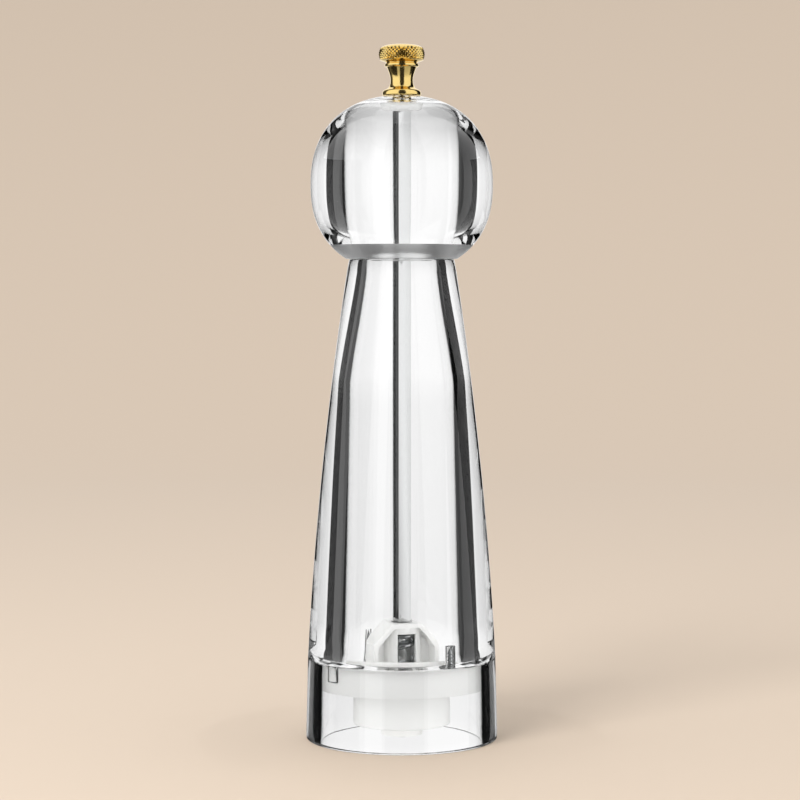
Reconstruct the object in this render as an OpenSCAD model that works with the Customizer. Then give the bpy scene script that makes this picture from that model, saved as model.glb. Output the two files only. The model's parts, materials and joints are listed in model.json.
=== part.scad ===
// Pepper mill with a clear tower, a clear ball head and a ceramic grinding mechanism.
// Origin: centre of the base ring's underside, +Z up. All lengths are in millimetres.

/* [Base ring] */
// Outer radius of the ring and of the tower's foot
ring_r = 27.7; // [26:0.1:34]
// How far the ring's outside flares towards the table
ring_flare = 0.5; // [0:0.1:1.5]
// Wall thickness of the ring
ring_wall = 4.1; // [3:0.1:4.5]
// Width of the locating keys inside the ring
key_w = 3.8; // [2:0.1:5]
// Height of the locating keys
key_h = 5.2; // [3:0.1:7]
// How far the keys stand in from the bore
key_depth = 0.9; // [0.5:0.1:1.2]
// Direction of the first key, in degrees about Z
key_angle = 218; // [0:1:360]

/* [Tower] */
// Height of the clear tower
tower_h = 117.2; // [90:0.1:160]
// Outer radius of the tower at its mouth
tower_top_r = 15.5; // [14.5:0.1:20]
// How far the tower's side bulges out past a straight cone
tower_bulge = 1.5; // [0:0.1:3]
// Radius of the peppercorn chamber at its foot
chamber_r = 17; // [15:0.1:17.6]
// Radius of the chamber's widened rim
chamber_rim_r = 18.3; // [17.8:0.1:19]
// Radius of the chamber where it starts to close in
shoulder_r = 15.3; // [12.5:0.1:16]
// Length of the chamber's closing cone, with the mouth
shoulder_h = 36.5; // [20:0.5:50]
// Radius of the filling mouth
mouth_r = 10.4; // [8.5:0.1:11.5]

/* [Ball head] */
// Largest radius of the ball
ball_r = 26.7; // [22:0.1:34]
// Height of the ball above its widest place before its crown is cut
ball_half_h = 26.1; // [25:0.1:34]
// Depth of the ball below its widest place before its foot is cut
ball_low_h = 25.5; // [24.5:0.1:30]
// Squareness of the ball's outline, where 2 is an ellipse
ball_power = 2.29; // [2:0.01:2.6]
// Drop from the ball's widest place to its foot
ball_drop = 21.5; // [20:0.1:24]
// Radius of the ball's hollow
hollow_r = 16.8; // [14:0.1:18]
// Radius of the rounding at the hollow's ceiling
hollow_corner_r = 9; // [5:0.1:10]
// Thickness of the crown over the hollow
crown_t = 3.1; // [2.5:0.1:5]
// Thickness of the plug that closes the ball's foot
plug_t = 3.9; // [3:0.1:6]
// Length of the spigot that centres the head in the mouth
spigot_h = 1.3; // [1:0.1:4]
// Wall thickness of the spigot
spigot_wall = 1.2; // [0.8:0.1:3]

/* [Drive insert] */
// Outer radius of the drive insert under the crown
insert_r = 6.3; // [5:0.1:7.5]
// Height of the drive insert
insert_h = 4.7; // [3:0.1:7]

/* [Knob] */
// Height of the adjustment knob
knob_h = 15; // [13:0.5:20]
// Radius of the knurled rim
knob_rim_r = 6.8; // [6:0.1:9]
// Height of the knurled rim
knob_rim_h = 2.2; // [1.5:0.1:3]
// Radius of the knob's foot
knob_foot_r = 5.8; // [5.2:0.1:7]
// Smallest radius of the knob's waist
knob_waist_r = 3.3; // [3.1:0.1:4]
// Number of knurl grooves round the rim
knurls = 36; // [24:1:48]

/* [Shaft] */
// Width across the flats of the square shaft
shaft_w = 4; // [3.3:0.1:5]
// Diameter of the threaded stud at the shaft's top
stud_d = 4; // [3:0.1:5]
// Turn of the square shaft about Z, in degrees
shaft_turn = 26.6; // [0:0.1:90]
// Height of the shaft's shoulder above the floor of the drive insert
shoulder_over_insert = 3.2; // [2:0.1:3.4]

/* [Carrier and mechanism] */
// Height of the carrier disc
carrier_h = 8.6; // [7.5:0.1:12]
// Height of the stator cup that shows below the carrier
cup_h = 10.6; // [10:0.1:13]
// Height of the rotor core's boss below the cup
boss_h = 3; // [2.6:0.1:4]
// Space between the retaining screw and the table
foot_gap = 1; // [0.8:0.1:3]
// Outer radius of the stator cup
cup_r = 14.3; // [13.6:0.1:15]
// Height of the bridge above the carrier
bridge_h = 10.2; // [9:0.1:14]
// Half the width of the bridge's legs
bridge_half_w = 9.6; // [8.5:0.1:10.5]
// Depth of the bridge, front to back
bridge_depth = 11; // [8:0.1:12]
// Wall thickness of the bridge
bridge_wall = 1.3; // [1:0.1:1.8]
// Width of the window in the bridge's spring tube
window_w = 5.3; // [3:0.1:6]
// Turn of the bridge about Z, in degrees
bridge_turn = 17; // [0:1:90]
// Number of teeth on the rotor
rotor_teeth = 12; // [8:1:16]
// Number of teeth on the stator
stator_teeth = 24; // [16:1:30]

/* [Spring] */
// Diameter of the spring's wire
wire_d = 1; // [0.7:0.1:1.2]
// Number of active turns
active_turns = 3.2; // [2:0.1:4]

/* [Screws] */
// Radius of the two carrier screws
screw_r = 1.3; // [1:0.1:1.6]
// Length of screw inside the tower's foot
screw_bite = 5.5; // [4:0.1:8]
// Direction of the first carrier screw, in degrees about Z
screw_angle = 308; // [0:1:360]

/* [Clearances] */
// Gap all round between pieces that are pushed together
fit_gap = 0.15; // [0.1:0.05:0.3]
// Gap all round a piece that turns or slides in another
slide_gap = 0.25; // [0.2:0.05:0.4]
// Gap between faces that turn on each other
face_gap = 0.1; // [0.05:0.05:0.3]
// Radial gap between the stud and the knob's thread
thread_gap = 0.05; // [0.02:0.01:0.1]
// Gap between the rotor's and the stator's fine teeth
grind_gap = 0.45; // [0.4:0.05:0.8]
// Furthest that the shaft is raised by the knob
lift_up = 0.7; // [0.3:0.05:0.8]

/* [Hidden] */
$fn = 96;
eps = 0.01;
far = 400;

clear_acrylic = [0.93, 0.96, 0.97, 0.45];
white_plastic = [0.95, 0.95, 0.94];
white_ceramic = [0.9, 0.89, 0.86];
bright_aluminium = [0.78, 0.79, 0.8];
spring_steel = [0.66, 0.67, 0.68];
polished_brass = [0.85, 0.66, 0.25];

// Shaft
shaft_corner_r = shaft_w / sqrt(2);
shaft_bore_r = shaft_corner_r + slide_gap;

// Heights of the mechanism, from the table up
screw_head_h = 1.3;
washer_t = 0.6;
boss_bottom_z = foot_gap + 0.8;
cup_bottom_z = boss_bottom_z + boss_h;
ring_h = cup_bottom_z + cup_h + carrier_h;
carrier_bottom_z = ring_h - carrier_h;
plate_t = 2.4;
plate_bottom_z = ring_h - plate_t;
washer_z = foot_gap + screw_head_h;
shaft_bottom_z = washer_z + washer_t;

// Ring and carrier
ring_bore_r = ring_r - ring_wall;
carrier_r = ring_bore_r - slide_gap;
carrier_wall = 1.8;
feed_r = cup_r - 1.4;
screw_head_r = screw_r * 1.6;
screw_circle_r = chamber_rim_r + screw_r + 0.8;
screw_tip_z = ring_h + screw_bite;

// Stator, its cup and its retaining ring
cup_wall = 1.5;
stator_r = cup_r - cup_wall - eps;
retainer_h = 1.8;
stator_bottom_z = cup_bottom_z + retainer_h;
stator_top_z = carrier_bottom_z - 0.4;
ledge_t = 1.5;
fine_h = 3;
stator_mouth_r = stator_r - 1.8;
fine_slope = 0.3;
tooth_depth = 0.8;

// Rotor and its core
core_r = shaft_corner_r + 1.3;
core_top_z = stator_top_z + 0.3;
rotor_bottom_r = stator_mouth_r - grind_gap + fine_slope * 1.1;
rotor_top_r = core_r + 1.5;
rotor_top_z = stator_top_z - 0.9;
boss_r = core_r + 2;

// Spring, inside the bridge's tube
spring_bore_r = shaft_corner_r + 0.35;
spring_mean_r = spring_bore_r + wire_d / 2;
spring_outer_r = spring_bore_r + wire_d;
tube_bore_r = spring_outer_r + slide_gap;
tube_r = tube_bore_r + 1.1;
hub_t = 2.2;
hub_r = shaft_bore_r + 1.2;
bridge_top_z = ring_h + bridge_h;
hub_ceiling_z = bridge_top_z - hub_t;
spring_top_z = hub_ceiling_z - washer_t - eps;
spring_bottom_z = core_top_z + washer_t + eps;

// Tower
tower_top_z = ring_h + tower_h;
mouth_h = spigot_h + 0.6;
edge = 0.4;

// Ball head and knob
foot_z = tower_top_z + face_gap;
ball_z = foot_z + ball_drop;
part_z = foot_z + plug_t;
crown_z = ball_z + ball_half_h - 0.3;
ceiling_z = crown_z - crown_t;
spigot_r = mouth_r - slide_gap;
insert_z = ceiling_z - insert_h;
knob_z = crown_z + face_gap;
bore_h = knob_h - 2.4;
stud_top_z = knob_z + bore_h - lift_up - 0.5;
shaft_shoulder_z = insert_z + shoulder_over_insert;

// A square bar or hole along Z, turned as the shaft is
module square_bar(w, z0, z1) {
    rotate([0, 0, shaft_turn])
        translate([-w / 2, -w / 2, z0])
            cube([w, w, z1 - z0]);
}

// A straight round bar or hole along Z
module round_bar(r, z0, z1) {
    translate([0, 0, z0])
        cylinder(r = r, h = z1 - z0);
}

// A flat washer
module washer(r, bore, z, t) {
    difference() {
        round_bar(r, z, z + t);
        round_bar(bore, z - 1, z + t + 1);
    }
}

// Clear ring that the mill stands on, with two keys that hold the carrier from turning
module base_ring() {
    foot_r = ring_r + ring_flare;
    color(clear_acrylic) {
        rotate_extrude()
            polygon([
                [ring_bore_r, edge], [ring_bore_r + edge, 0], [foot_r - edge, 0], [foot_r, edge],
                [foot_r, 3], [ring_r, ring_h], [ring_bore_r, ring_h]
            ]);
        for (a = [0, 180])
            rotate([0, 0, key_angle + a])
                translate([ring_bore_r - key_depth, -key_w / 2, ring_h - key_h])
                    cube([key_depth + ring_wall / 4, key_w, key_h]);
    }
}

// Radius of the tower's outside at a share of its height
function tower_side_r(t) = ring_r + (tower_top_r - ring_r) * t + 4 * tower_bulge * t * (1 - t);

// Clear thick-walled tower that holds the peppercorns
module tower_body() {
    steps = 18;
    side = [for (i = [0 : steps]) [tower_side_r(i / steps), ring_h + tower_h * i / steps]];
    below_edge = [for (p = side) if (p[1] < tower_top_z - edge) p];
    color(clear_acrylic)
        difference() {
            rotate_extrude()
                polygon(concat(below_edge, [
                    [tower_side_r(1 - edge / tower_h), tower_top_z - edge],
                    [tower_top_r - edge, tower_top_z],
                    [mouth_r + edge, tower_top_z],
                    [mouth_r, tower_top_z - edge],
                    [mouth_r, tower_top_z - mouth_h],
                    [shoulder_r, tower_top_z - shoulder_h],
                    [chamber_r, ring_h + 2.5],
                    [chamber_rim_r, ring_h]
                ]));
            for (a = [0, 180])
                rotate([0, 0, screw_angle + a])
                    translate([screw_circle_r, 0, 0])
                        round_bar(screw_r + 0.05, ring_h - 1, screw_tip_z + 0.4);
        }
}

// Disc that fills the ring's bore and carries the mechanism
module carrier_disc() {
    cup_seat_r = cup_r + fit_gap;
    color(white_plastic)
        difference() {
            union() {
                washer(carrier_r, feed_r, plate_bottom_z, plate_t);
                washer(carrier_r, carrier_r - carrier_wall, carrier_bottom_z, carrier_h);
                washer(cup_seat_r + carrier_wall, cup_seat_r, carrier_bottom_z, carrier_h - 1);
                intersection() {
                    washer(carrier_r - 1, cup_seat_r + 1, carrier_bottom_z, carrier_h - 1);
                    union() {
                        for (a = [0, 180])
                            rotate([0, 0, screw_angle + a])
                                translate([screw_circle_r, 0, 0])
                                    round_bar(screw_r + 2.4, carrier_bottom_z - 1, ring_h);
                        for (a = [0 : 45 : 315])
                            rotate([0, 0, screw_angle + 22.5 + a])
                                translate([0, -0.6, carrier_bottom_z + 1.2])
                                    cube([ring_r, 1.2, carrier_h]);
                    }
                }
            }
            for (a = [0, 180]) {
                rotate([0, 0, screw_angle + a])
                    translate([screw_circle_r, 0, 0]) {
                        round_bar(screw_r + 0.2, carrier_bottom_z - 1, ring_h + 1);
                        round_bar(screw_head_r + 0.2, carrier_bottom_z - 1, carrier_bottom_z + 2);
                    }
                rotate([0, 0, key_angle + a])
                    translate([
                        ring_bore_r - key_depth - slide_gap,
                        -key_w / 2 - fit_gap,
                        ring_h - key_h - slide_gap
                    ])
                        cube([ring_wall, key_w + 2 * fit_gap, key_h + 1]);
            }
        }
}

// One self-tapping screw, tip up, with its head at z = 0
module tapping_screw(length) {
    pitch = 1;
    core_r = screw_r * 0.72;
    point_h = 1.4;
    turns = floor((length - screw_head_h - point_h) / pitch) - 1;
    thread_z = length - point_h - turns * pitch;
    color(spring_steel)
        difference() {
            rotate_extrude()
                polygon(concat(
                    [[0, 0], [screw_head_r - 0.5, 0], [screw_head_r, 0.5], [screw_head_r, screw_head_h]],
                    [[core_r, screw_head_h]],
                    [for (i = [0 : turns - 1]) each [
                        [core_r, thread_z + i * pitch],
                        [screw_r, thread_z + (i + 0.5) * pitch]
                    ]],
                    [[core_r, length - point_h], [0, length]]
                ));
            for (a = [0, 90])
                rotate([0, 0, a])
                    translate([-screw_r, -0.25, -1])
                        cube([screw_r * 2, 0.5, 1.7]);
        }
}

// The two screws that hold the carrier and the ring under the tower
module carrier_screws() {
    head_z = carrier_bottom_z + 0.7;
    for (a = [0, 180])
        rotate([0, 0, screw_angle + a])
            translate([screw_circle_r, 0, head_z])
                tapping_screw(screw_tip_z - head_z);
}

// Outline of the bridge's roof and legs, drawn inside a wall of the given thickness
module bridge_outline(wall) {
    half_w = bridge_half_w - wall;
    top = bridge_top_z - wall;
    slope = bridge_half_w - hub_r;
    polygon([
        [-half_w, ring_h - 1], [half_w, ring_h - 1], [half_w, bridge_top_z - slope - wall / 2],
        [hub_r - wall / 2, top], [wall / 2 - hub_r, top], [-half_w, bridge_top_z - slope - wall / 2]
    ]);
}

// Slab of that outline, front to back
module bridge_slab(wall, depth) {
    rotate([90, 0, 0])
        translate([0, 0, -depth / 2])
            linear_extrude(height = depth)
                bridge_outline(wall);
}

// Bridge that steadies the shaft and holds the spring down
module bridge() {
    collar_r = feed_r - fit_gap;
    flange_r = chamber_r - 0.6;
    color(white_plastic)
        rotate([0, 0, bridge_turn])
            difference() {
                union() {
                    washer(flange_r, collar_r - 1.5, ring_h, 1.2);
                    washer(collar_r, collar_r - 1.5, plate_bottom_z, plate_t + 0.5);
                    intersection() {
                        union() {
                            difference() {
                                bridge_slab(0, bridge_depth);
                                bridge_slab(bridge_wall, bridge_depth + 2);
                            }
                            bridge_slab(0, bridge_wall);
                        }
                        round_bar(flange_r, ring_h, far);
                    }
                    intersection() {
                        round_bar(tube_r, ring_h, far);
                        bridge_slab(0, far);
                    }
                    translate([-collar_r + 0.5, -bridge_depth / 2, ring_h])
                        cube([collar_r * 2 - 1, bridge_depth, 1.2]);
                }
                round_bar(tube_bore_r, plate_bottom_z - 1, hub_ceiling_z);
                round_bar(shaft_bore_r, hub_ceiling_z - 1, far);
                translate([-window_w / 2, -tube_r - 1, ring_h + 0.8])
                    cube([window_w, tube_r * 2 + 2, hub_ceiling_z - ring_h - 1.6]);
            }
}

// Cup that hangs from the carrier and holds the stator
module stator_cup() {
    bore = cup_r - cup_wall;
    color(white_plastic)
        rotate_extrude()
            polygon([
                [bore, cup_bottom_z], [cup_r - edge, cup_bottom_z], [cup_r, cup_bottom_z + edge],
                [cup_r, plate_bottom_z], [feed_r, plate_bottom_z],
                [feed_r, stator_top_z + ledge_t], [bore - 1, stator_top_z + ledge_t],
                [bore - 1, stator_top_z], [bore, stator_top_z]
            ]);
}

// Toothed ceramic ring that stays still
module stator() {
    fine_top_z = stator_bottom_z + fine_h;
    fine_top_r = stator_mouth_r - fine_slope * fine_h;
    color(white_ceramic)
        difference() {
            rotate_extrude()
                polygon([
                    [stator_mouth_r, stator_bottom_z], [stator_r, stator_bottom_z],
                    [stator_r, stator_top_z], [stator_r - 1.2, stator_top_z],
                    [fine_top_r - 0.5, stator_top_z - 2], [fine_top_r, fine_top_z]
                ]);
            for (i = [0 : stator_teeth - 1])
                rotate([0, 0, i * 360 / stator_teeth])
                    translate([fine_top_r, 0, fine_top_z])
                        rotate([20, 0, 0])
                            rotate([0, 0, 45])
                                cube([tooth_depth, tooth_depth, 12], center = true);
        }
}

// Ring that snaps in under the stator
module stator_retainer() {
    color(white_plastic)
        rotate_extrude()
            polygon([
                [stator_mouth_r + 0.3, cup_bottom_z + edge],
                [stator_mouth_r + 0.3 + edge, cup_bottom_z],
                [stator_r, cup_bottom_z], [stator_r, stator_bottom_z],
                [stator_mouth_r + 0.3, stator_bottom_z]
            ]);
}

// Centre line of the spring's wire at a number of turns from its lower end
function coil_z(turn, pitch) = spring_bottom_z + wire_d / 2
    + wire_d * min(turn, 1)
    + pitch * max(0, min(turn - 1, active_turns))
    + wire_d * max(0, turn - 1 - active_turns);

// Coil spring with one closed turn at each end
module compression_spring() {
    turns = active_turns + 2;
    pitch = (spring_top_z - spring_bottom_z - 3 * wire_d) / active_turns;
    rings_per_turn = 28;
    sides = 10;
    rings = floor(turns * rings_per_turn);
    points = [for (i = [0 : rings]) let (a = 360 * i / rings_per_turn)
        for (j = [0 : sides - 1]) let (b = 360 * j / sides)
            [
                (spring_mean_r + wire_d / 2 * cos(b)) * cos(a),
                (spring_mean_r + wire_d / 2 * cos(b)) * sin(a),
                coil_z(i / rings_per_turn, pitch) + wire_d / 2 * 0.98 * sin(b)
            ]];
    skin = [for (i = [0 : rings - 1]) for (j = [0 : sides - 1])
        let (k = (j + 1) % sides)
            [i * sides + j, i * sides + k, (i + 1) * sides + k, (i + 1) * sides + j]];
    ends = [[for (j = [sides - 1 : -1 : 0]) j], [for (j = [0 : sides - 1]) rings * sides + j]];
    color(spring_steel)
        polyhedron(points = points, faces = concat(skin, ends), convexity = 6);
}

// Washer between the spring and the bridge
module spring_top_washer() {
    color(spring_steel)
        washer(spring_outer_r, shaft_bore_r, spring_top_z, washer_t);
}

// Washer between the spring and the rotor's core
module spring_seat() {
    color(spring_steel)
        difference() {
            round_bar(spring_outer_r + 0.1, core_top_z, core_top_z + washer_t);
            square_bar(shaft_w + fit_gap, core_top_z - 1, core_top_z + 2);
        }
}

// Square shaft with a round stud for the knob
module drive_shaft() {
    color(bright_aluminium)
        difference() {
            union() {
                square_bar(shaft_w, shaft_bottom_z, shaft_shoulder_z);
                round_bar(stud_d / 2, shaft_shoulder_z - 1, stud_top_z);
            }
            round_bar(shaft_w * 0.3, shaft_bottom_z - 1, shaft_bottom_z + 7);
        }
}

// Plastic core that keys the rotor to the shaft
module rotor_core() {
    color(white_plastic)
        difference() {
            union() {
                round_bar(core_r, boss_bottom_z, core_top_z);
                round_bar(boss_r, boss_bottom_z, cup_bottom_z);
                for (a = [0, 180])
                    rotate([0, 0, shaft_turn + a])
                        translate([0, -0.8, cup_bottom_z - 0.5])
                            cube([core_r + 0.7, 1.6, 4]);
            }
            square_bar(shaft_w + fit_gap, shaft_bottom_z - 1, core_top_z + 1);
            round_bar(boss_r - 1.4, boss_bottom_z - 1, shaft_bottom_z);
        }
}

// Toothed ceramic cone that turns with the shaft
module rotor() {
    fine_top_z = cup_bottom_z + 1 + fine_h;
    fine_top_r = rotor_bottom_r - fine_slope * fine_h;
    color(white_ceramic)
        difference() {
            rotate_extrude()
                polygon([
                    [core_r + 0.05, cup_bottom_z], [rotor_bottom_r - 0.6, cup_bottom_z],
                    [rotor_bottom_r, cup_bottom_z + 0.4], [rotor_bottom_r, cup_bottom_z + 1],
                    [fine_top_r, fine_top_z], [rotor_top_r, rotor_top_z],
                    [core_r + 0.05, rotor_top_z]
                ]);
            for (a = [0, 180])
                rotate([0, 0, shaft_turn + a])
                    translate([0, -0.85, cup_bottom_z - 1])
                        cube([core_r + 0.75, 1.7, 4.7]);
            for (i = [0 : rotor_teeth - 1])
                rotate([0, 0, i * 360 / rotor_teeth + 5])
                    translate([fine_top_r - 0.2, 0, fine_top_z - 0.5])
                        rotate([-24, -22, 0])
                            rotate([0, 0, 45])
                                cube([tooth_depth * 1.3, tooth_depth * 1.3, 9], center = true);
        }
}

// Washer that holds the core on the shaft
module retaining_washer() {
    color(spring_steel)
        washer(boss_r - 1.6, shaft_w * 0.3 + 0.1, washer_z, washer_t);
}

// Screw in the shaft's lower end
module retaining_screw() {
    shank_r = shaft_w * 0.3 - 0.05;
    head_r = shank_r * 2;
    color(spring_steel)
        difference() {
            rotate_extrude()
                polygon([
                    [0, foot_gap], [head_r - 0.5, foot_gap], [head_r, foot_gap + 0.5],
                    [head_r, washer_z], [shank_r, washer_z], [shank_r, shaft_bottom_z + 5.5],
                    [0, shaft_bottom_z + 6]
                ]);
            for (a = [0, 90])
                rotate([0, 0, a])
                    translate([-shank_r, -0.3, foot_gap - 1])
                        cube([shank_r * 2, 0.6, 1.8]);
        }
}

// Right half of the ball's outline, two superellipses that meet at its widest place
module ball_outline() {
    steps = 48;
    polygon([for (i = [0 : steps]) let (a = -90 + 180 * i / steps) [
        ball_r * pow(abs(cos(a)), 2 / ball_power),
        ball_z + (a < 0 ? -ball_low_h : ball_half_h) * pow(abs(sin(a)), 2 / ball_power)
    ]]);
}

// Band of the ball's outline between two heights
module ball_band(z0, z1) {
    intersection() {
        ball_outline();
        translate([0, z0])
            square([ball_r * 2, z1 - z0]);
    }
}

// Clear hollow ball, open at its foot
module ball_head() {
    color(clear_acrylic)
        rotate_extrude()
            difference() {
                ball_band(part_z, crown_z);
                translate([0, part_z - 1])
                    square([hollow_r, ceiling_z - hollow_corner_r - part_z + 1]);
                translate([0, part_z - 1])
                    square([hollow_r - hollow_corner_r, ceiling_z - part_z + 1]);
                translate([hollow_r - hollow_corner_r, ceiling_z - hollow_corner_r])
                    circle(r = hollow_corner_r);
                translate([0, part_z])
                    square([stud_d / 2 + slide_gap, ball_half_h * 2]);
            }
}

// Clear plug that closes the ball and centres it in the tower's mouth
module neck_plug() {
    rim_r = hollow_r - fit_gap;
    color(clear_acrylic)
        rotate_extrude()
            difference() {
                union() {
                    ball_band(foot_z, part_z);
                    translate([0, part_z - eps])
                        square([rim_r, 0.8 + eps]);
                    translate([0, foot_z - spigot_h])
                        square([spigot_r, spigot_h + 1]);
                }
                translate([0, foot_z - spigot_h - 1])
                    square([spigot_r - spigot_wall, ball_drop]);
            }
}

// Insert with a square hole that lets the head turn the shaft
module drive_insert() {
    color(white_plastic)
        difference() {
            rotate_extrude()
                polygon([
                    [0, insert_z], [insert_r - 0.8, insert_z], [insert_r - 0.3, insert_z + 0.8],
                    [insert_r, ceiling_z - 1.2], [insert_r, ceiling_z], [0, ceiling_z]
                ]);
            square_bar(shaft_w + 2 * fit_gap, insert_z - 1, ceiling_z + 1);
        }
}

// Points of an arc, counted in degrees
function arc(cx, cz, r, a0, a1, n) =
    [for (i = [0 : n]) let (a = a0 + (a1 - a0) * i / n) [cx + r * cos(a), cz + r * sin(a)]];

// Turned brass knob with a grooved rim, screwed on the stud
module adjustment_knob() {
    rim_top_z = knob_z + knob_h - 2.3;
    rim_z = rim_top_z - knob_rim_h;
    bead_z = rim_z - 2.1;
    color(polished_brass)
        difference() {
            rotate_extrude()
                polygon(concat(
                    [[0, knob_z], [knob_foot_r, knob_z]],
                    arc(knob_foot_r - 1.2, knob_z + 0.5, 1.2, 0, 80, 6),
                    [[knob_waist_r + 0.7, knob_z + 2.2], [knob_waist_r + 0.15, knob_z + 3.2]],
                    [[knob_waist_r, knob_z + 4.2], [knob_waist_r + 0.3, knob_z + 5.4]],
                    [[knob_waist_r + 1.3, bead_z - 0.2]],
                    arc(knob_waist_r + 1.2, bead_z + 0.5, 0.55, -90, 90, 6),
                    [[knob_waist_r + 1.4, rim_z - 0.9], [knob_rim_r - 0.5, rim_z - 0.2]],
                    [[knob_rim_r, rim_z + 0.3], [knob_rim_r, rim_top_z - 0.2]],
                    arc(knob_rim_r - 2.3, rim_top_z, 2.2, 0, 80, 8),
                    [[0, knob_z + knob_h]]
                ));
            round_bar(stud_d / 2 + thread_gap, knob_z - 1, knob_z + bore_h);
            for (i = [0 : knurls - 1])
                rotate([0, 0, i * 360 / knurls])
                    translate([knob_rim_r + 0.1, 0, rim_z + knob_rim_h / 2])
                        rotate([30, 0, 0])
                            rotate([0, 0, 45])
                                cube([0.5, 0.5, knob_rim_h * 2], center = true);
        }
}

base_ring();
tower_body();
carrier_disc();
carrier_screws();
bridge();
stator_cup();
stator();
stator_retainer();
compression_spring();
spring_top_washer();
drive_shaft();
spring_seat();
rotor_core();
rotor();
retaining_washer();
retaining_screw();
ball_head();
neck_plug();
drive_insert();
adjustment_knob();
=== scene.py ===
"""Pepper mill with a clear tower, a clear ball head and a ceramic grinder.

Laid out as a Blender add-on: sizes and finishes are property groups, and each piece or
group of like pieces is one operator. Lengths are metres, +Z is up, the mill stands on z = 0.
"""

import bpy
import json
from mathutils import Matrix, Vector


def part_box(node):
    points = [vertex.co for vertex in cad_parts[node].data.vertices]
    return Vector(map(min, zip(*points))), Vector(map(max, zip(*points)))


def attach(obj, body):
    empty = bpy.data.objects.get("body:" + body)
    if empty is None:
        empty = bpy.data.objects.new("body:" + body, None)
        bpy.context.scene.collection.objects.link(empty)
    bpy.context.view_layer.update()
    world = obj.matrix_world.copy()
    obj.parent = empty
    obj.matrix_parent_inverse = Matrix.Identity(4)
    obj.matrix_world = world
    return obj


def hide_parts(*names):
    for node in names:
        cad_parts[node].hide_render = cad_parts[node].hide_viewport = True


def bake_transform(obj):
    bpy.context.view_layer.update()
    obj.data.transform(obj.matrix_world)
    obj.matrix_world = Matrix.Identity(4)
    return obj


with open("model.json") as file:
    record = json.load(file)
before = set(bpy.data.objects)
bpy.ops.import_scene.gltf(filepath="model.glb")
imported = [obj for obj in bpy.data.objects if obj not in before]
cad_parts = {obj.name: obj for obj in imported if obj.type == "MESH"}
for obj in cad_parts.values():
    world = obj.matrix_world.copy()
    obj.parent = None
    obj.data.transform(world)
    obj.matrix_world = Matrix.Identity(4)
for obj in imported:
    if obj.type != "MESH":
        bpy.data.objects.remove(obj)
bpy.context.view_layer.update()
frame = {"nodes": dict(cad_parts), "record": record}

import json
import math

import bpy
from mathutils import Vector

bl_info = {
    "name": "Pepper Mill",
    "version": (1, 0, 0),
    "blender": (4, 5, 0),
    "location": "View3D > Sidebar > Mill",
    "description": "Builds a clear pepper mill round its packed frame",
    "category": "Add Mesh",
}

MM = 0.001
FULL_TURN = 2 * math.pi
SHELL_STEPS = 320
CARD_RADIUS = 60 * MM
CARD_LOW = -60 * MM
CARD_HIGH = 320 * MM


# ---------------------------------------------------------------- places from the frame

def low_z(node):
    """Lowest height of a frame node."""
    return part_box(node)[0].z


def high_z(node):
    """Highest height of a frame node."""
    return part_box(node)[1].z


def half_x(node):
    """Half the width of a frame node along X."""
    low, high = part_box(node)
    return (high.x - low.x) / 2


# ---------------------------------------------------------------- sizes and colours

def length(name, description, default):
    """A length property in metres."""
    return bpy.props.FloatProperty(
        name=name, description=description, default=default, min=0.0,
        subtype="DISTANCE", unit="LENGTH", precision=5,
    )


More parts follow.
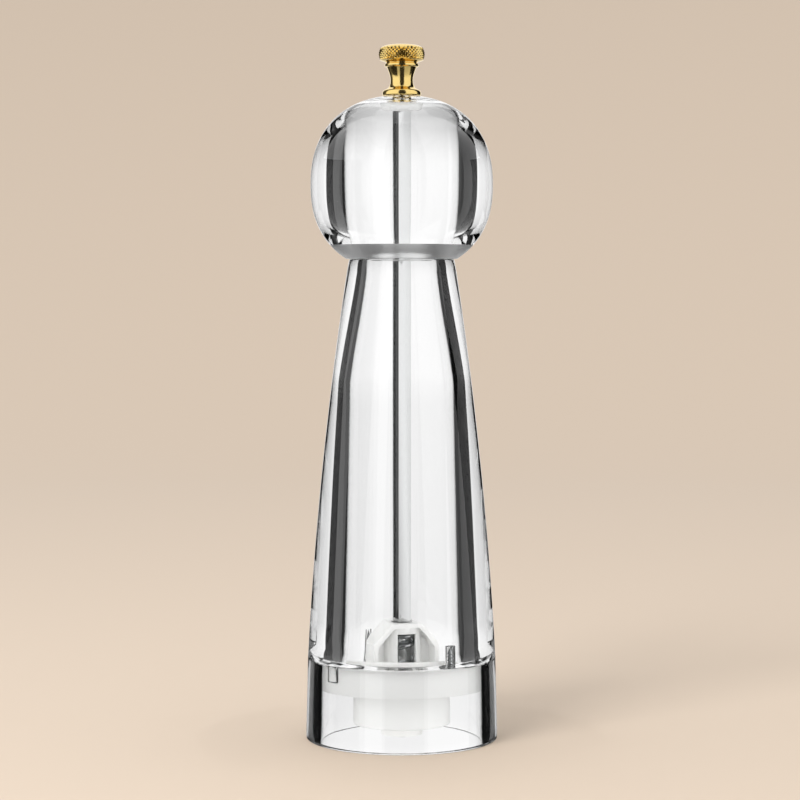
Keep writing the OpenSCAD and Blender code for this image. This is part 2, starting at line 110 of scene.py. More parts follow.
class MillSizes(bpy.types.PropertyGroup):
    """Sizes that shape the clear shells, the grinder and the knob."""

    joint_gap: length("Joint gap", "Air film left between two clear pieces", 0.03 * MM)
    ring_wall: length("Ring wall", "Wall of the base ring", 4.1 * MM)
    chamber_foot: length("Chamber foot radius", "Chamber radius just above its rim", 17.0 * MM)
    chamber_rim: length("Chamber rim radius", "Chamber radius at the tower's foot", 18.3 * MM)
    chamber_shoulder: length("Chamber shoulder radius", "Radius where it closes in", 15.3 * MM)
    shoulder_depth: length("Shoulder depth", "Closing cone and mouth, from the top", 36.5 * MM)
    mouth: length("Mouth radius", "Radius of the filling mouth", 10.4 * MM)
    mouth_depth: length("Mouth depth", "Straight part of the mouth", 4.5 * MM)
    tower_top: length("Tower top radius", "Outer radius at the mouth", 15.5 * MM)
    joint_edge: length("Joint edge", "Eased edge where tower and ring meet", 0.2 * MM)
    tower_bulge: length("Tower bulge", "Bulge of the tower's side", 1.5 * MM)
    ball_high: length("Ball height above widest", "Before the crown is cut", 26.1 * MM)
    ball_low: length("Ball depth below widest", "Before the foot is cut", 25.5 * MM)
    ball_drop: length("Ball drop", "Widest place down to the foot", 21.5 * MM)
    ball_power: bpy.props.FloatProperty(
        name="Ball squareness", description="2 gives an ellipse", default=2.29, min=2.0)
    hollow: length("Hollow radius", "Radius of the ball's hollow", 16.8 * MM)
    hollow_corner: length("Hollow corner", "Rounding at the hollow's ceiling", 9.0 * MM)
    crown: length("Crown thickness", "Clear wall over the hollow", 3.1 * MM)
    spigot: length("Spigot radius", "Spigot that sits in the mouth", 10.15 * MM)
    spigot_wall: length("Spigot wall", "Wall of the spigot", 1.2 * MM)
    screw_radius: length("Screw radius", "Thread radius of the two foot screws", 1.3 * MM)
    key_width: length("Key width", "Width of the keys in the ring", 3.8 * MM)
    key_height: length("Key height", "Height of the keys in the ring", 5.2 * MM)
    key_depth: length("Key depth", "How far the keys stand in from the bore", 0.9 * MM)
    wire: length("Spring wire", "Diameter of the spring's wire", 1.0 * MM)
    stud: length("Stud radius", "Radius of the shaft's threaded stud", 2.0 * MM)
    knurl_depth: length("Knurl depth", "Depth of the knob's diamond knurl", 0.4 * MM)
    key_angle: bpy.props.FloatProperty(
        name="Key direction", description="Direction of the first key", subtype="ANGLE",
        default=math.radians(218))
    screw_angle: bpy.props.FloatProperty(
        name="Screw direction", description="Direction of the first screw", subtype="ANGLE",
        default=math.radians(308))
    spring_turns: bpy.props.FloatProperty(
        name="Active turns", description="Open turns of the spring", default=3.2, min=1.0)
    knurls: bpy.props.IntProperty(
        name="Knurls", description="Diamonds round the knob's rim", default=36, min=12)


class MillColours(bpy.types.PropertyGroup):
    """Colours of the stage round the mill."""

    floor: bpy.props.StringProperty(
        name="Floor", description="sRGB hex colour of the floor", default="C9B8A6")
    brass: bpy.props.StringProperty(
        name="Brass", description="sRGB hex colour of the knob", default="F8D98A")
    plastic: bpy.props.StringProperty(
        name="Plastic", description="sRGB hex colour of the moulded pieces", default="F6F6F4")


def sizes():
    """The scene's size settings."""
    return bpy.context.scene.mill_sizes


def colours():
    """The scene's stage colours."""
    return bpy.context.scene.mill_colours


def srgb(code, alpha=1.0):
    """An sRGB hex colour as linear RGBA."""
    channels = [int(code[i:i + 2], 16) / 255 for i in (0, 2, 4)]
    linear = [c / 12.92 if c <= 0.04045 else ((c + 0.055) / 1.055) ** 2.4 for c in channels]
    return (*linear, alpha)


# ---------------------------------------------------------------- materials

def add_node(tree, kind, settings=None, links=None):
    """Adds a shader node with its settings, and its links as input: (node, output)."""
    node = tree.nodes.new(kind)
    for key, value in (settings or {}).items():
        if isinstance(key, int) or key in node.inputs:
            node.inputs[key].default_value = value
        else:
            setattr(node, key, value)
    for key, (source, output) in (links or {}).items():
        tree.links.new(source.outputs[output], node.inputs[key])
    return node


def new_material(name):
    """An empty node material and its output node."""
    material = bpy.data.materials.new(name)
    material.use_nodes = True
    material.node_tree.nodes.clear()
    output = material.node_tree.nodes.new("ShaderNodeOutputMaterial")
    return material, material.node_tree, output


def cast_acrylic():
    """Polished cast acrylic (PMMA): water clear, IOR 1.49, with the faintest polishing swirl."""
    material, tree, output = new_material("cast_acrylic_polished")
    place = add_node(tree, "ShaderNodeTexCoord")
    swirl = add_node(tree, "ShaderNodeTexNoise",
                     {"Scale": 90.0, "Detail": 0.0, "Roughness": 0.4},
                     {"Vector": (place, "Object")})
    bump = add_node(tree, "ShaderNodeBump", {"Strength": 0.02, "Distance": 0.001},
                    {"Height": (swirl, "Fac")})
    shader = add_node(tree, "ShaderNodeBsdfPrincipled", {
        "Base Color": srgb("FFFFFF"), "Roughness": 0.0, "IOR": 1.49,
        "Transmission Weight": 1.0,
    }, {"Normal": (bump, "Normal")})
    tree.links.new(shader.outputs["BSDF"], output.inputs["Surface"])
    return material


def ground_acrylic():
    """Cast acrylic whose faces are left fine-ground where the plug is cemented in."""
    material, tree, output = new_material("cast_acrylic_ground")
    shader = add_node(tree, "ShaderNodeBsdfPrincipled", {
        "Base Color": srgb("F8F8F8"), "Roughness": 0.3, "IOR": 1.49,
        "Transmission Weight": 1.0,
    })
    tree.links.new(shader.outputs["BSDF"], output.inputs["Surface"])
    return material


def moulded_white():
    """Injection-moulded white POM: satin, with a faint spark-eroded grain."""
    material, tree, output = new_material("pom_white_moulded")
    place = add_node(tree, "ShaderNodeTexCoord")
    grain = add_node(tree, "ShaderNodeTexNoise",
                     {"Scale": 3000.0, "Detail": 3.0}, {"Vector": (place, "Object")})
    bump = add_node(tree, "ShaderNodeBump", {"Strength": 0.08, "Distance": 0.0001},
                    {"Height": (grain, "Fac")})
    shader = add_node(tree, "ShaderNodeBsdfPrincipled", {
        "Base Color": srgb(colours().plastic), "Roughness": 0.38, "IOR": 1.48,
    }, {"Normal": (bump, "Normal")})
    tree.links.new(shader.outputs["BSDF"], output.inputs["Surface"])
    return material


def sintered_ceramic():
    """Sintered alumina: off-white, matt, fine granular surface."""
    material, tree, output = new_material("alumina_sintered")
    place = add_node(tree, "ShaderNodeTexCoord")
    grain = add_node(tree, "ShaderNodeTexNoise",
                     {"Scale": 5000.0, "Detail": 4.0}, {"Vector": (place, "Object")})
    bump = add_node(tree, "ShaderNodeBump", {"Strength": 0.2, "Distance": 0.0001},
                    {"Height": (grain, "Fac")})
    shader = add_node(tree, "ShaderNodeBsdfPrincipled", {
        "Base Color": srgb("ECEAE4"), "Roughness": 0.55, "IOR": 1.76,
    }, {"Normal": (bump, "Normal")})
    tree.links.new(shader.outputs["BSDF"], output.inputs["Surface"])
    return material


def drawn_aluminium():
    """Bright drawn aluminium bar: mirror-like with long fine draw lines."""
    material, tree, output = new_material("aluminium_bright_drawn")
    place = add_node(tree, "ShaderNodeTexCoord")
    stretch = add_node(tree, "ShaderNodeMapping", {"Scale": (6000.0, 6000.0, 30.0)},
                       {"Vector": (place, "Object")})
    lines = add_node(tree, "ShaderNodeTexNoise", {"Scale": 1.0, "Detail": 3.0},
                     {"Vector": (stretch, "Vector")})
    bump = add_node(tree, "ShaderNodeBump", {"Strength": 0.06, "Distance": 0.0001},
                    {"Height": (lines, "Fac")})
    shader = add_node(tree, "ShaderNodeBsdfPrincipled", {
        "Base Color": srgb("F4F5F5"), "Metallic": 1.0, "Roughness": 0.14,
    }, {"Normal": (bump, "Normal")})
    tree.links.new(shader.outputs["BSDF"], output.inputs["Surface"])
    return material


def bright_steel():
    """Zinc-plated steel of screws, washers and spring wire."""
    material, tree, output = new_material("steel_zinc_plated")
    place = add_node(tree, "ShaderNodeTexCoord")
    spangle = add_node(tree, "ShaderNodeTexNoise",
                       {"Scale": 1200.0, "Detail": 2.0}, {"Vector": (place, "Object")})
    bump = add_node(tree, "ShaderNodeBump", {"Strength": 0.05, "Distance": 0.0001},
                    {"Height": (spangle, "Fac")})
    shader = add_node(tree, "ShaderNodeBsdfPrincipled", {
        "Base Color": srgb("C9CBCC"), "Metallic": 1.0, "Roughness": 0.2,
    }, {"Normal": (bump, "Normal")})
    tree.links.new(shader.outputs["BSDF"], output.inputs["Surface"])
    return material


def polished_brass():
    """Turned and polished brass with faint lathe rings."""
    material, tree, output = new_material("brass_turned_polished")
    place = add_node(tree, "ShaderNodeTexCoord")
    rings = add_node(tree, "ShaderNodeTexWave",
                     {"bands_direction": "Z", "Scale": 4000.0, "Distortion": 0.6},
                     {"Vector": (place, "Object")})
    bump = add_node(tree, "ShaderNodeBump", {"Strength": 0.02, "Distance": 0.0001},
                    {"Height": (rings, "Fac")})
    shader = add_node(tree, "ShaderNodeBsdfPrincipled", {
        "Base Color": srgb(colours().brass), "Metallic": 1.0, "Roughness": 0.14,
    }, {"Normal": (bump, "Normal")})
    tree.links.new(shader.outputs["BSDF"], output.inputs["Surface"])
    return material


MAKERS = {
    "clear_acrylic": cast_acrylic, "ground_acrylic": ground_acrylic,
    "white_plastic": moulded_white,
    "white_ceramic": sintered_ceramic, "steel": bright_steel,
    "aluminium_rod": drawn_aluminium, "polished_brass": polished_brass,
}
made = {}


def dress(piece, slot):
    """Gives a piece the finish of its slot, which is made once."""
    if slot not in made:
        made[slot] = MAKERS[slot]()
    piece.data.materials.clear()
    piece.data.materials.append(made[slot])


# ---------------------------------------------------------------- mesh tools

def arc(centre, radius, start, end, steps):
    """Points of an arc in the (radius, height) plane, with angles in degrees."""
    turns = [math.radians(start + (end - start) * i / steps) for i in range(steps + 1)]
    return [(centre[0] + radius * math.cos(a), centre[1] + radius * math.sin(a)) for a in turns]


def lathe(name, outline, segments, sweep=FULL_TURN):
    """Spins an outline of (radius, height) points round Z into one piece."""
    bpy.ops.object.select_all(action="DESELECT")
    bpy.ops.mesh.primitive_plane_add(size=MM)
    piece = bpy.context.object
    piece.name = name
    bpy.ops.object.mode_set(mode="EDIT")
    bpy.ops.mesh.select_all(action="SELECT")
    bpy.ops.mesh.merge(type="CENTER")
    first = outline[0]
    bpy.ops.transform.translate(value=(first[0], 0, first[1]))
    for here, there in zip(outline, outline[1:]):
        step = (there[0] - here[0], 0, there[1] - here[1])
        bpy.ops.mesh.extrude_region_move(TRANSFORM_OT_translate={"value": step})
    bpy.ops.mesh.select_all(action="SELECT")
    bpy.ops.mesh.spin(steps=segments, angle=sweep, center=(0, 0, 0), axis=(0, 0, 1))
    bpy.ops.mesh.select_all(action="SELECT")
    bpy.ops.mesh.remove_doubles(threshold=0.002 * MM)
    bpy.ops.mesh.normals_make_consistent(inside=False)
    bpy.ops.object.mode_set(mode="OBJECT")
    return piece


def take(piece):
    """Selects one piece alone and makes it active."""
    bpy.ops.object.select_all(action="DESELECT")
    piece.select_set(True)
    bpy.context.view_layer.objects.active = piece


def apply_modifier(piece, kind, **settings):
    """Adds a modifier with its settings and applies it."""
    take(piece)
    modifier = piece.modifiers.new(kind.lower(), kind)
    for key, value in settings.items():
        setattr(modifier, key, value)
    bpy.ops.object.modifier_apply(modifier=modifier.name)


def combine(piece, tool, operation):
    """Cuts a tool out of a piece, or joins it on, and takes the tool away."""
    apply_modifier(piece, "BOOLEAN", object=tool, operation=operation, solver="EXACT")
    bpy.data.objects.remove(tool)


def eased_copy(node, name, edge, sharp=35):
    """A copy of a frame node whose sharp edges are eased, as a mould or a file leaves them."""
    piece = bpy.data.objects.new(name, frame["nodes"][node].data.copy())
    bpy.context.scene.collection.objects.link(piece)
    take(piece)
    bpy.ops.object.mode_set(mode="EDIT")
    bpy.ops.mesh.select_all(action="SELECT")
    bpy.ops.mesh.remove_doubles(threshold=0.001 * MM)
    bpy.ops.mesh.dissolve_limited(angle_limit=math.radians(0.5))
    bpy.ops.object.mode_set(mode="OBJECT")
    apply_modifier(piece, "BEVEL", width=edge, segments=2, limit_method="ANGLE",
                   angle_limit=math.radians(sharp))
    return piece


def smooth(piece, angle=30):
    """Smooth shading that keeps edges sharper than the given angle."""
    take(piece)
    bpy.ops.object.shade_smooth_by_angle(angle=math.radians(angle))


def place(piece, body, slot, nodes, finish=None):
    """Puts a finished piece on its body, in place of its frame nodes."""
    dress(piece, finish or slot)
    smooth(piece)
    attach(piece, body)
    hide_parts(*nodes)


def ball_side(s, radius, centre_z, z_low, z_high, steps):
    """Outline points of the ball between two heights, upwards: two superellipses."""
    power = s.ball_power
    points = []
    for i in range(steps + 1):
        z = z_low + (z_high - z_low) * i / steps
        share = min(1.0, abs(z - centre_z) / (s.ball_high if z > centre_z else s.ball_low))
        points.append((radius * (1 - share ** power) ** (1 / power), z))
    return points


# ---------------------------------------------------------------- clear pieces

class MILL_OT_tower(bpy.types.Operator):
    """Adds the clear tower, a thick-walled tapering tube"""

    bl_idname = "mill.tower"
    bl_label = "Clear tower"

    def execute(self, context):
        s = sizes()
        foot = low_z("tower_body")
        top = high_z("tower_body")
        foot_r = half_x("tower_body")
        top_r = s.tower_top
        height = top - foot
        outside = []
        for i in range(41):
            t = i / 40
            bulge = 4 * s.tower_bulge * t * (1 - t)
            outside.append((foot_r + (top_r - foot_r) * t + bulge, foot + height * t))
        outside = [(foot_r - s.joint_edge, foot), *outside[1:-1]]
        outside.insert(1, (foot_r, foot + s.joint_edge))
        rim = arc((top_r - 0.6 * MM, top - 0.6 * MM), 0.6 * MM, 8, 90, 6)
        lip = arc((s.mouth + 0.5 * MM, top - 0.5 * MM), 0.5 * MM, 90, 180, 5)
        cone_top = (s.mouth, top - s.mouth_depth)
        shoulder_z = top - s.shoulder_depth
        cone = [cone_top]
        for i in range(1, 13):
            t = i / 12
            eased = t * t * (3 - 2 * t) * 0.25 + t * 0.75
            cone.append((s.mouth + (s.chamber_shoulder - s.mouth) * eased,
                         cone_top[1] + (shoulder_z - cone_top[1]) * t))
        draft = [(s.chamber_shoulder + (s.chamber_foot - s.chamber_shoulder) * i / 12,
                  shoulder_z + (foot + 2.6 * MM - shoulder_z) * i / 12) for i in range(1, 13)]
        inside = [*cone, *draft, (s.chamber_rim, foot + 0.3 * MM), (s.chamber_rim + 0.1 * MM, foot)]
        outline = [*outside, *rim, *lip, *inside]
        outline.append(outline[0])
        piece = lathe("tower_shell", outline, SHELL_STEPS)
        circle_r = s.chamber_rim + s.screw_radius + 0.8 * MM
        hole_top = high_z("carrier_screws") + 0.15 * MM
        hole_foot = foot - 1 * MM
        for turn in (0, math.pi):
            bpy.ops.object.select_all(action="DESELECT")
            angle = s.screw_angle + turn
            bpy.ops.mesh.primitive_cylinder_add(
                vertices=32, radius=s.screw_radius + 0.1 * MM, depth=hole_top - hole_foot,
                location=(circle_r * math.cos(angle), circle_r * math.sin(angle),
                          (hole_top + hole_foot) / 2))
            combine(piece, context.object, "DIFFERENCE")
        place(piece, "tower", "clear_acrylic", ["tower_body"])
        return {"FINISHED"}


class MILL_OT_ring(bpy.types.Operator):
    """Adds the clear ring that the mill stands on"""

    bl_idname = "mill.ring"
    bl_label = "Clear base ring"

    def execute(self, context):
        s = sizes()
        top = high_z("base_ring") - s.joint_gap
        foot_r = half_x("base_ring")
        top_r = half_x("tower_body")
        bore = top_r - s.ring_wall
        outline = [
            (bore, top - 0.3 * MM), *arc((bore + 0.4 * MM, 0.4 * MM), 0.4 * MM, 180, 270, 5),
            *arc((foot_r - 0.5 * MM, 0.5 * MM), 0.5 * MM, 270, 360, 6),
            (foot_r, 3 * MM), (top_r, top - s.joint_edge), (top_r - s.joint_edge, top),
            (bore + 0.3 * MM, top),
        ]
        outline.append(outline[0])
        piece = lathe("ring_shell", outline, SHELL_STEPS)
        for turn in (0, math.pi):
            bpy.ops.object.select_all(action="DESELECT")
            bpy.ops.mesh.primitive_cube_add(size=1.0)
            key = context.object
            radial = s.key_depth + 1 * MM
            key.scale = (radial, s.key_width, s.key_height)
            middle = bore - s.key_depth + radial / 2
            angle = s.key_angle + turn
            key.location = (middle * math.cos(angle), middle * math.sin(angle),
                            top - s.key_height / 2 - 0.02 * MM)
            key.rotation_euler = (0, 0, angle)
            take(key)
            bpy.ops.object.transform_apply(location=True, rotation=True, scale=True)
            apply_modifier(key, "BEVEL", width=0.3 * MM, segments=3)
            combine(piece, key, "UNION")
        place(piece, "tower", "clear_acrylic", ["base_ring"])
        return {"FINISHED"}


class MILL_OT_ball(bpy.types.Operator):
    """Adds the clear hollow ball and the plug that closes its foot"""

    bl_idname = "mill.ball"
    bl_label = "Clear ball head"

    def execute(self, context):
        s = sizes()
        radius = half_x("ball_head")
        part = low_z("ball_head")
        crown = high_z("ball_head")
        foot = high_z("tower_body") + 0.1 * MM
        centre = foot + s.ball_drop
        ceiling = crown - s.crown
        stud = 2.25 * MM
        corner = s.hollow_corner
        outside = ball_side(s, radius, centre, part + s.joint_gap, crown - 0.4 * MM, 90)
        top_r = outside[-1][0]
        outline = [
            *outside, (top_r * 0.8, crown - 0.15 * MM), (5.2 * MM, crown), (stud + 0.2 * MM, crown),
            (stud, crown - 0.2 * MM), (stud, ceiling),
            *arc((s.hollow - corner, ceiling - corner), corner, 90, 0, 16),
            (s.hollow, part + 6 * MM), (s.hollow, part + s.joint_gap),
        ]
        outline.append(outline[0])
        ball = lathe("ball_shell", outline, SHELL_STEPS)
        place(ball, "head", "clear_acrylic", ["ball_head"])

        skin = ball_side(s, radius, centre, foot + 0.3 * MM, part, 14)
        spigot_foot = low_z("neck_plug")
        bore = s.spigot - s.spigot_wall
        rim = s.hollow - 0.15 * MM
        outline = [
            (bore, spigot_foot + 0.2 * MM), (bore + 0.2 * MM, spigot_foot),
            (s.spigot - 0.3 * MM, spigot_foot), (s.spigot, spigot_foot + 0.3 * MM),
            (s.spigot, foot), (skin[0][0] - 0.4 * MM, foot),
            *skin, (rim, part), (rim, part + 0.6 * MM), (rim - 0.2 * MM, part + 0.8 * MM),
            (bore + 0.3 * MM, part + 0.8 * MM), (bore, part + 0.5 * MM),
        ]
        outline.append(outline[0])
        plug = lathe("plug_shell", outline, SHELL_STEPS)
        place(plug, "head", "clear_acrylic", ["neck_plug"], "ground_acrylic")
        return {"FINISHED"}


class MILL_OT_knob(bpy.types.Operator):
    """Adds the turned brass knob with its waist, bead and diamond-knurled rim"""

    bl_idname = "mill.knob"
    bl_label = "Brass knob"

    def execute(self, context):
        s = sizes()
        foot = low_z("adjustment_knob")
        crown = high_z("adjustment_knob")
        rim = half_x("adjustment_knob")
        bore_top = crown - 2.4 * MM
        profile = [
            (5.0, 0.0), (5.45, 0.1), (5.65, 0.35), (5.7, 0.9), (5.6, 1.35), (5.3, 1.7),
            (4.9, 1.9), (4.35, 2.15), (3.9, 2.55), (3.6, 3.1), (3.4, 3.8), (3.32, 4.6),
            (3.38, 5.4), (3.56, 6.2), (3.82, 7.0), (4.12, 7.8), (4.36, 8.35), (4.42, 8.45),
            (4.7, 8.5), (4.92, 8.62), (5.02, 8.85), (5.02, 9.1), (4.92, 9.35), (4.7, 9.5),
            (4.5, 9.6), (4.55, 9.8), (5.0, 9.98), (5.7, 10.2), (6.2, 10.4), (6.4, 10.55),
        ]
        lower = [(r * MM, foot + z * MM) for r, z in profile]
        rows = 6
        knurl_low, knurl_high = foot + 10.7 * MM, foot + 13.8 * MM
        band = [(rim - 0.02 * MM - 0.4 * MM * abs(2 * i / rows - 1) ** 2,
                 knurl_low + (knurl_high - knurl_low) * i / rows) for i in range(rows + 1)]
        cap = [(6.2, 14.05), (5.8, 14.35), (5.2, 14.62), (4.5, 14.82), (3.6, 14.94),
               (2.4, 15.0), (0.0, 15.0)]
        upper = [(r * MM, foot + z * MM) for r, z in cap]
        upper[-2:] = [(2.4 * MM, crown), (0.0, crown)]
        inner = [(0.0, bore_top), (s.stud + 0.06 * MM, bore_top), (s.stud + 0.06 * MM, foot)]
        outline = [*inner, *lower, *band, *upper]
        knob = lathe("brass_knob", outline, 2 * s.knurls)
        half_pitch = FULL_TURN / (2 * s.knurls)
        row_height = (knurl_high - knurl_low) / rows
        bpy.ops.object.mode_set(mode="EDIT")
        bpy.ops.mesh.select_mode(type="VERT")
        bpy.ops.mesh.select_all(action="DESELECT")
        bpy.ops.object.mode_set(mode="OBJECT")
        for vertex in knob.data.vertices:
            x, y, z = vertex.co
            if math.hypot(x, y) < rim - 0.55 * MM:
                continue
            row = round((z - knurl_low) / row_height)
            column = round(math.atan2(y, x) / half_pitch)
            inside = 0 <= row <= rows and abs(z - knurl_low - row * row_height) < 0.01 * MM
            vertex.select = inside and (row + column) % 2 == 1
        bpy.ops.object.mode_set(mode="EDIT")
        sink = 1 - s.knurl_depth / rim
        bpy.ops.transform.resize(value=(sink, sink, 1))
        bpy.ops.mesh.vert_connect()
        bpy.ops.mesh.select_all(action="SELECT")
        bpy.ops.mesh.normals_make_consistent(inside=False)
        bpy.ops.object.mode_set(mode="OBJECT")
        place(knob, "knob", "polished_brass", ["adjustment_knob"])
        for face in knob.data.polygons:
            if knurl_low < face.center.z < knurl_high:
                face.use_smooth = False
        return {"FINISHED"}


class MILL_OT_spring(bpy.types.Operator):
    """Adds the coil spring that presses the rotor down"""

    bl_idname = "mill.spring"
    bl_label = "Coil spring"

    def execute(self, context):
        s = sizes()
        radius = s.wire / 2
        bottom, top = low_z("compression_spring") + radius, high_z("compression_spring") - radius
        mean = half_x("compression_spring") - radius
        turns, steps, sides = s.spring_turns + 2, 48, 14
        pitch = (top - bottom - 2 * s.wire) / s.spring_turns
        bpy.ops.object.select_all(action="DESELECT")
        bpy.ops.mesh.primitive_circle_add(
            vertices=sides, radius=radius, location=(mean, 0, 0),
            rotation=(math.pi / 2, 0, 0))
        spring = context.object
        spring.name = "spring_coil"
        bpy.ops.object.transform_apply(location=True, rotation=True, scale=True)
        across = [v.co.z for v in spring.data.vertices]
        count = round(turns * steps)
        apply_modifier(spring, "SCREW", angle=turns * FULL_TURN, screw_offset=10 * MM,
                       steps=count, render_steps=count, use_merge_vertices=False)
        for i, vertex in enumerate(spring.data.vertices):
            ring, corner = divmod(i, sides)
            turn = ring / steps
            closed = s.wire * (min(turn, 1) + max(0, turn - 1 - s.spring_turns))
            vertex.co.z = (bottom + across[corner] + closed
                           + pitch * max(0, min(turn - 1, s.spring_turns)))
        bpy.ops.object.mode_set(mode="EDIT")
        bpy.ops.mesh.select_all(action="SELECT")
        bpy.ops.mesh.fill_holes(sides=sides)
        bpy.ops.mesh.normals_make_consistent(inside=False)
        bpy.ops.object.mode_set(mode="OBJECT")
        dress(spring, "steel")
        smooth(spring, 50)
        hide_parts("compression_spring")
        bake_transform(spring)
        return {"FINISHED"}


class MILL_OT_mechanism(bpy.types.Operator):
    """Adds the carrier, bridge, cup, insert and shaft with eased edges"""

    bl_idname = "mill.mechanism"
    bl_label = "Carrier, bridge, cup, insert and shaft"

    def execute(self, context):
        for node, name, body, slot, edge in (
            ("carrier_disc", "carrier_moulding", "tower", "white_plastic", 0.3),
            ("bridge", "bridge_moulding", "tower", "white_plastic", 0.25),
            ("stator_cup", "cup_moulding", "tower", "white_plastic", 0.3),
            ("drive_insert", "insert_moulding", "head", "white_plastic", 0.3),
            ("drive_shaft", "square_shaft", "shaft", "aluminium_rod", 0.22),
            ("retaining_washer", "foot_washer", "shaft", "steel", 0.1),
            ("spring_top_washer", "upper_washer", "drive", "steel", 0.1),
            ("spring_seat", "lower_washer", "shaft", "steel", 0.1),
        ):
            piece = eased_copy(node, name, edge * MM)
            place(piece, body, slot, [node])
        return {"FINISHED"}


class MILL_OT_finishes(bpy.types.Operator):
    """Gives the frame's own nodes their finishes"""

    bl_idname = "mill.finishes"
    bl_label = "Finishes of the frame nodes"

    def execute(self, context):
        for part in frame["record"]["subparts"]:
            dress(frame["nodes"][part["node"]], part["material_slot"])
        return {"FINISHED"}


# ---------------------------------------------------------------- stage

def dark_card(name, start, end, shade, low=CARD_LOW, high=CARD_HIGH):
    """An upright curved card close round the mill. Azimuth 0 is behind, 90 on its right.
    It shows in reflections alone, so the clear walls get dark edges and nothing is shaded."""
    bpy.ops.object.select_all(action="DESELECT")
    piece = lathe(name, [(CARD_RADIUS, low), (CARD_RADIUS, high)], 16,
                  math.radians(end - start))
    piece.rotation_euler = (0, 0, math.radians(90 - start))
    material, tree, output = new_material(name)
    ray = add_node(tree, "ShaderNodeLightPath")
    mirrored = add_node(tree, "ShaderNodeMath", {"operation": "GREATER_THAN", 1: 0.5},
                        {0: (ray, "Glossy Depth")})
    clear = add_node(tree, "ShaderNodeBsdfTransparent")
    card = add_node(tree, "ShaderNodeEmission", {"Color": srgb(shade), "Strength": 1.0})
    mix = add_node(tree, "ShaderNodeMixShader", {}, {
        "Fac": (mirrored, "Value"), 1: (clear, "BSDF"), 2: (card, "Emission")})
    tree.links.new(mix.outputs["Shader"], output.inputs["Surface"])
    piece.data.materials.append(material)
    piece.visible_camera = False
    piece.visible_diffuse = False
    piece.visible_shadow = False


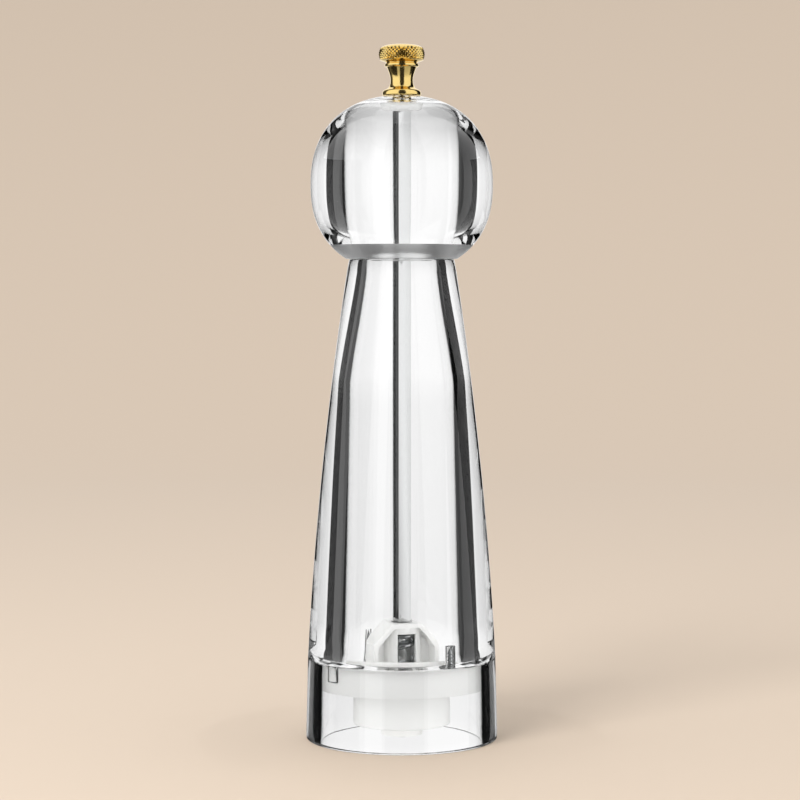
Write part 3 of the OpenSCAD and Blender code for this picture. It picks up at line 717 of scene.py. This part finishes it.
class MILL_OT_stage(bpy.types.Operator):
    """Adds the floor, the lights and the camera"""

    bl_idname = "mill.stage"
    bl_label = "Stage, lights and camera"

    def execute(self, context):
        scene = context.scene
        floor = lathe("studio_floor", [
            (0.0, 0.0), (0.9, 0.0), *arc((0.9, 0.7), 0.7, 270, 360, 24), (1.6, 2.4)], 96)
        if floor.data.polygons[0].normal.z < 0:
            floor.data.flip_normals()
        smooth(floor)
        material, tree, output = new_material("paper_matt_pale")
        shader = add_node(tree, "ShaderNodeBsdfPrincipled", {
            "Base Color": srgb(colours().floor), "Roughness": 0.9})
        facing = add_node(tree, "ShaderNodeNewGeometry")
        clear = add_node(tree, "ShaderNodeBsdfTransparent")
        mix = add_node(tree, "ShaderNodeMixShader", {}, {
            "Fac": (facing, "Backfacing"), 1: (shader, "BSDF"), 2: (clear, "BSDF")})
        tree.links.new(mix.outputs["Shader"], output.inputs["Surface"])
        floor.data.materials.append(material)
        # Only the camera sees the floor, and from below it is clear, so the foot shows.
        floor.visible_transmission = False
        floor.visible_glossy = False
        floor.visible_diffuse = False
        floor.visible_shadow = False

        scene.world = bpy.data.worlds.new("studio_tent")
        scene.world.use_nodes = True
        tree = scene.world.node_tree
        where = add_node(tree, "ShaderNodeTexCoord")
        axes = add_node(tree, "ShaderNodeSeparateXYZ", {}, {"Vector": (where, "Generated")})
        rise = add_node(tree, "ShaderNodeMapRange", {
            "interpolation_type": "SMOOTHSTEP", "From Min": -0.6, "From Max": 0.0,
            "To Min": 0.5, "To Max": 1.05}, {"Value": (axes, "Z")})
        side = add_node(tree, "ShaderNodeMapRange", {
            "From Min": -1.0, "From Max": 1.0, "To Min": 1.04, "To Max": 0.96},
            {"Value": (axes, "X")})
        light = add_node(tree, "ShaderNodeMath", {"operation": "MULTIPLY"},
                         {0: (rise, "Result"), 1: (side, "Result")})
        ray = add_node(tree, "ShaderNodeLightPath")
        scattered = add_node(tree, "ShaderNodeMath", {"operation": "MINIMUM", 1: 1.0},
                             {0: (ray, "Diffuse Depth")})
        # Moulded pieces inside the clear shells get more of the tent's light.
        enclosed = add_node(tree, "ShaderNodeMath", {"operation": "MINIMUM", 1: 1.0},
                            {0: (ray, "Transmission Depth")})
        inner = add_node(tree, "ShaderNodeMath", {"operation": "MULTIPLY"},
                         {0: (scattered, "Value"), 1: (enclosed, "Value")})
        boost = add_node(tree, "ShaderNodeMath", {"operation": "MULTIPLY_ADD", 1: 0.8, 2: 1.0},
                         {0: (inner, "Value")})
        strength = add_node(tree, "ShaderNodeMath", {"operation": "MULTIPLY"},
                            {0: (light, "Value"), 1: (boost, "Value")})
        tree.links.new(strength.outputs["Value"], tree.nodes["Background"].inputs["Strength"])
        tree.nodes["Background"].inputs["Color"].default_value = srgb("FFFFFF")

        dark_card("card_right", 35, 80, "050505")
        dark_card("card_left", -57, -35, "050505")
        ring_z = 22 * MM
        dark_card("card_left_grey", -80, -57, "5A5A5A", low=ring_z)
        dark_card("card_left_foot", -80, -57, "050505", high=ring_z)
        below_knob = low_z("adjustment_knob") - 8 * MM
        dark_card("card_left_side", -140, -80, "2A2A2A", high=below_knob)
        dark_card("card_right_side", 80, 100, "2A2A2A", high=below_knob)
        dark_card("card_front", 156, 198, "303030")

        bpy.ops.object.light_add(type="AREA", location=(-0.55, -0.75, 0.75))
        key = context.object
        key.name = "soft_key"
        key.data.size = 0.5
        key.data.energy = 9.0
        key.rotation_mode = "QUATERNION"
        key.rotation_quaternion = (Vector((0, 0, 0.08)) - key.location).to_track_quat("-Z", "Y")
        key.visible_transmission = False
        key.visible_glossy = False

        bpy.ops.object.camera_add()
        camera = context.object
        camera.name = "studio_camera"
        eye = Vector((-0.0005, -0.667, 0.1305))
        aim = Vector((-0.0005, 0, 0.0998))
        camera.rotation_mode = "QUATERNION"
        camera.location = eye
        camera.rotation_quaternion = (aim - eye).to_track_quat("-Z", "Y")
        camera.data.lens = 102.1
        camera.data.sensor_width = 36.0
        camera.data.clip_start = 0.05
        camera.data.clip_end = 20
        scene.camera = camera

        scene.view_settings.view_transform = "Standard"
        scene.cycles.use_denoising = True
        scene.cycles.max_bounces = 24
        scene.cycles.transmission_bounces = 24
        scene.cycles.transparent_max_bounces = 24
        scene.cycles.glossy_bounces = 12
        scene.cycles.diffuse_bounces = 4
        return {"FINISHED"}


class MILL_PT_panel(bpy.types.Panel):
    """Lists the steps that build the mill"""

    bl_label = "Pepper Mill"
    bl_idname = "MILL_PT_panel"
    bl_space_type = "VIEW_3D"
    bl_region_type = "UI"
    bl_category = "Mill"

    def draw(self, context):
        for step in STEPS:
            self.layout.operator(step.bl_idname)


STEPS = (
    MILL_OT_finishes, MILL_OT_tower, MILL_OT_ring, MILL_OT_ball, MILL_OT_knob,
    MILL_OT_spring, MILL_OT_mechanism, MILL_OT_stage,
)
CLASSES = (MillSizes, MillColours, *STEPS, MILL_PT_panel)


def register():
    """Registers the classes and hangs the settings on the scene."""
    for cls in CLASSES:
        bpy.utils.register_class(cls)
    bpy.types.Scene.mill_sizes = bpy.props.PointerProperty(type=MillSizes)
    bpy.types.Scene.mill_colours = bpy.props.PointerProperty(type=MillColours)


def unregister():
    """Takes the settings and the classes away again."""
    del bpy.types.Scene.mill_colours
    del bpy.types.Scene.mill_sizes
    for cls in reversed(CLASSES):
        bpy.utils.unregister_class(cls)


def main():
    register()
    for step in STEPS:
        group, _, action = step.bl_idname.partition(".")
        getattr(getattr(bpy.ops, group), action)()


if __name__ == "__main__":
    main()
